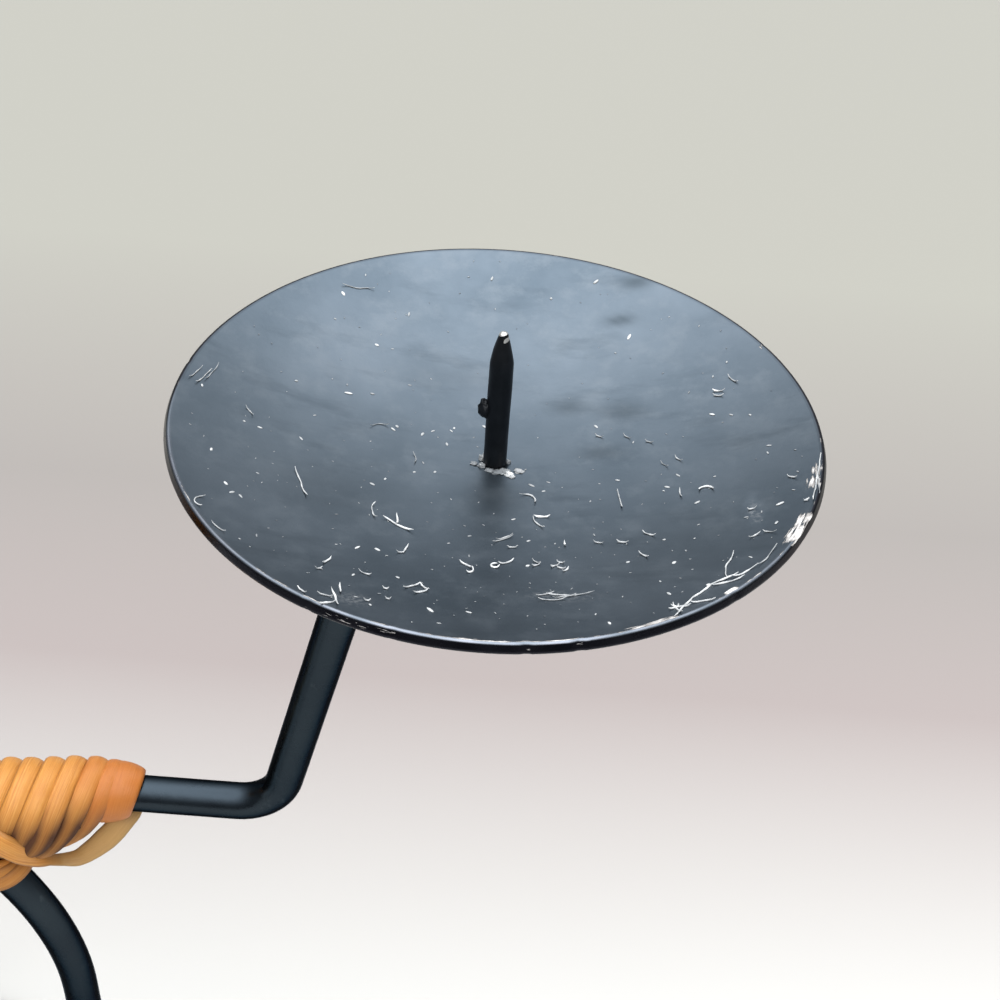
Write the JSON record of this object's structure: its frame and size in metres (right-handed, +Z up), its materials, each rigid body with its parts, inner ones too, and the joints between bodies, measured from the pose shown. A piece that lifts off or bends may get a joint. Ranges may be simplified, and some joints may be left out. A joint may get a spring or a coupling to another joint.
{
  "type": "figurine candle holder",
  "caption": "Iron-rod figure on a ring base whose raised arms carry dished plates with candle spikes, with cane bindings at the shoulders and a cane-wound ball head.",
  "frame": {"origin": "on the floor, under the middle of the base ring", "axes": "+Z up, +X towards the figure's arm that the picture shows, -Y the side the figure faces"},
  "size_m": [0.37, 0.1474, 0.278],
  "materials": {
    "painted_iron": "satin",
    "spike_iron": "satin",
    "cane": "satin",
    "core_wood": "matte"
  },
  "bodies": {
    "root": {"base_ring": "painted_iron", "side_arch": "painted_iron", "cross_arch": "painted_iron", "arm_bar": "painted_iron", "right_plate": "painted_iron", "left_plate": "painted_iron", "right_plate_weld": "painted_iron", "left_plate_weld": "painted_iron", "apex_weld": "painted_iron", "neck_weld": "painted_iron", "ring_welds": "painted_iron", "neck_rod": "painted_iron", "right_spike": "spike_iron", "left_spike": "spike_iron", "right_spike_weld": "spike_iron", "left_spike_weld": "spike_iron", "right_sleeve_core": "cane", "left_sleeve_core": "cane", "right_sleeve_cane": "cane", "left_sleeve_cane": "cane", "right_shoulder_lash": "cane", "left_shoulder_lash": "cane", "right_rib_binding": "cane", "left_rib_binding": "cane", "right_loose_strand": "cane", "left_loose_strand": "cane", "neck_binding": "cane", "head_cane": "cane", "head_core": "core_wood"}
  },
  "joints": []
}
